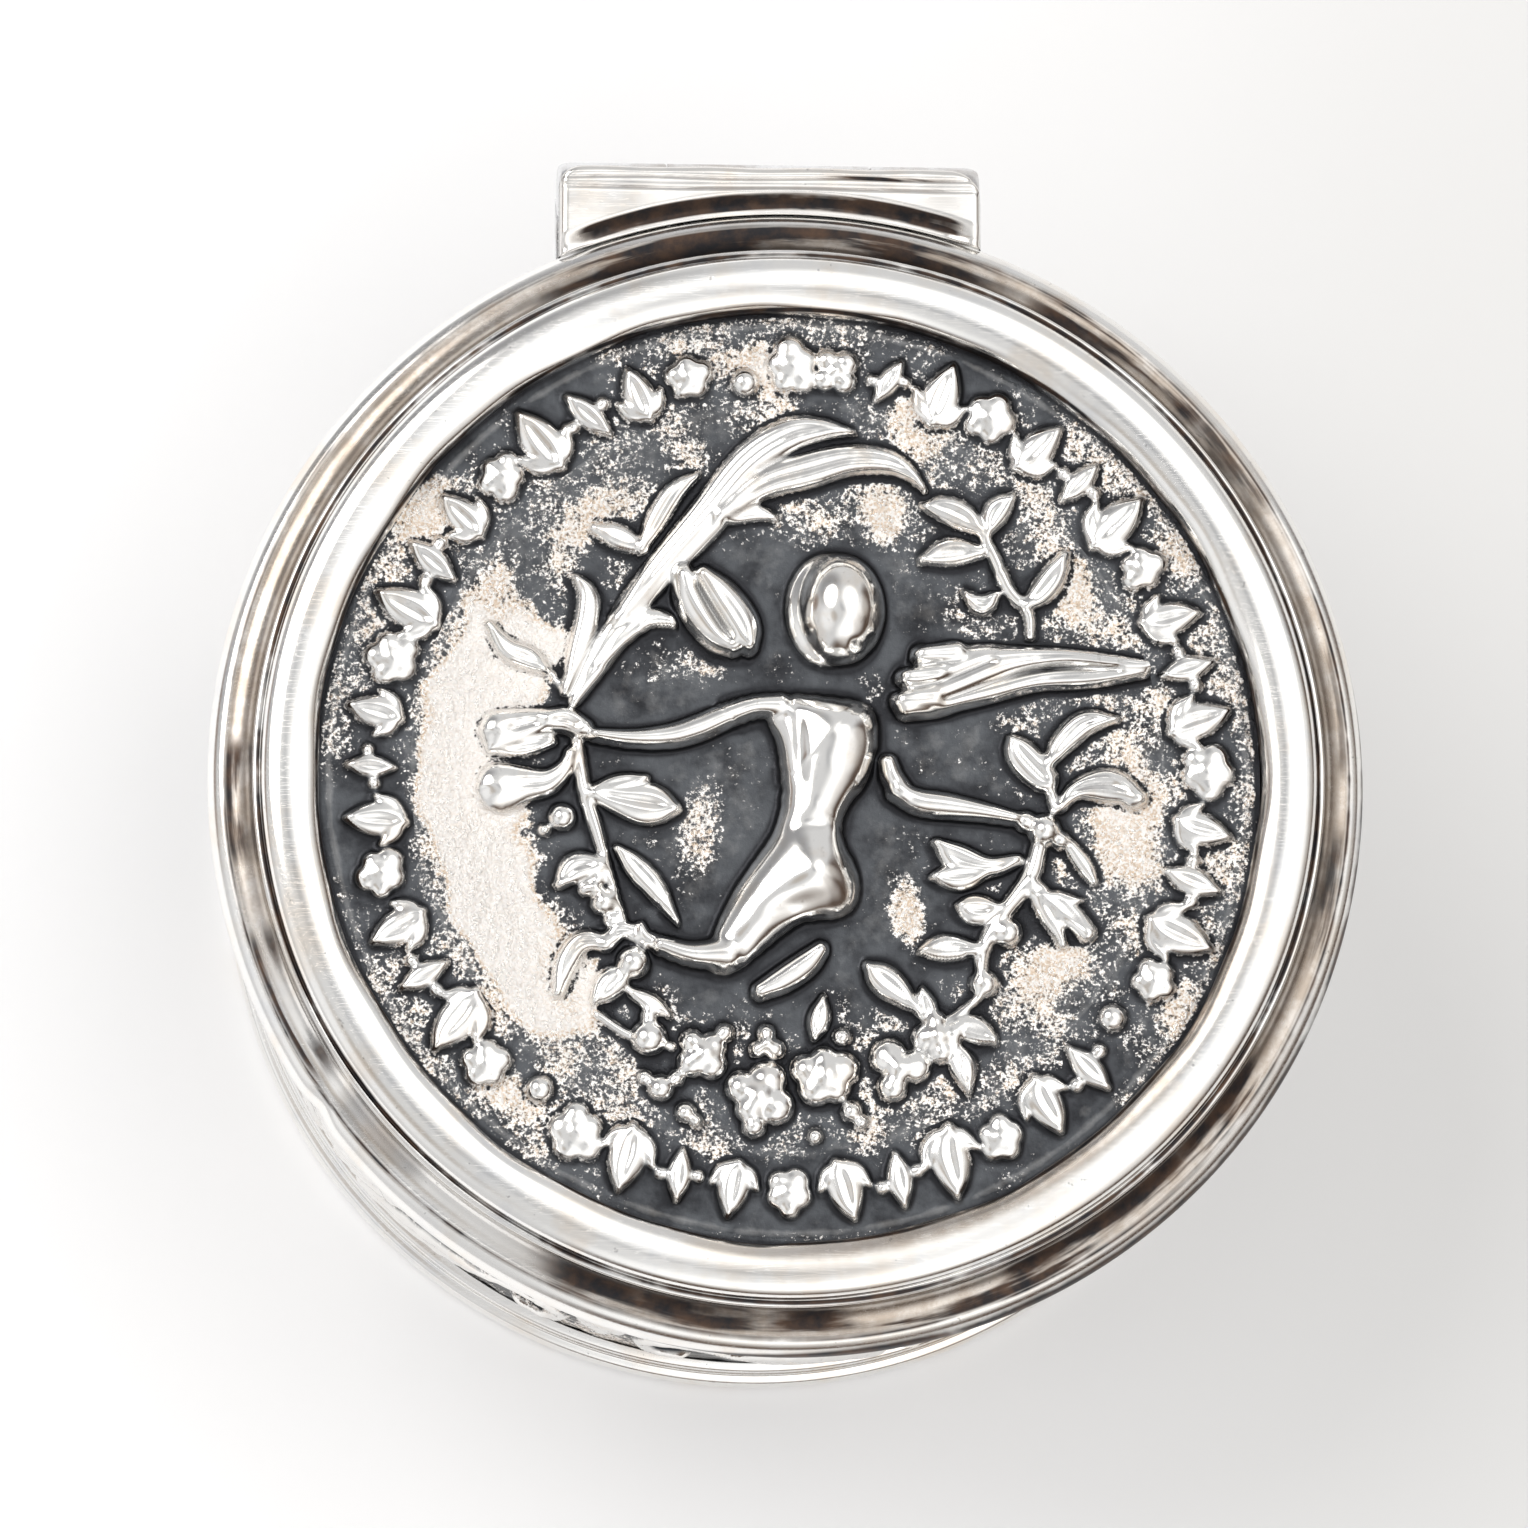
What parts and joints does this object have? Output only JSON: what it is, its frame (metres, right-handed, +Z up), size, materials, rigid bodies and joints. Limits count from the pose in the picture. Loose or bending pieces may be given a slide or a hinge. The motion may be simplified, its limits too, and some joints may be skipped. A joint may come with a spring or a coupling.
{
  "type": "keepsake box",
  "caption": "Small round silver keepsake box with a hinged lid, a chased relief disc in a rounded frame, and a leaf and scroll band on the wall.",
  "frame": {"origin": "centre of the flat base, on the surface that the box stands on", "axes": "+Z up through the lid, +Y towards the hinge, +X to the right of someone who faces the front"},
  "size_m": [0.04, 0.0419, 0.0216],
  "materials": {
    "polished_silver": "polished silver with hairline scratches and tarnish in the hollows",
    "chased_silver": "chased silver, bright on the raised work, with a dark oxidised grained ground"
  },
  "bodies": {
    "box": {"base_plate": "polished_silver", "foot_ring": "polished_silver", "body_wall": "chased_silver", "mouth_rim": "polished_silver", "hinge_bearer": "polished_silver", "knuckle_left": "polished_silver", "knuckle_right": "polished_silver", "hinge_pin": "polished_silver"},
    "lid": {"lid_frame": "polished_silver", "relief_plate": "chased_silver", "hinge_cover": "polished_silver", "knuckle_centre": "polished_silver"}
  },
  "joints": [
    {"name": "lid_hinge", "type": "hinge", "parent": "box", "child": "lid", "pos_m": [-0.0006, 0.02092, 0.0186], "axis": [-1, 0, 0], "range_deg": [0, 105]}
  ]
}
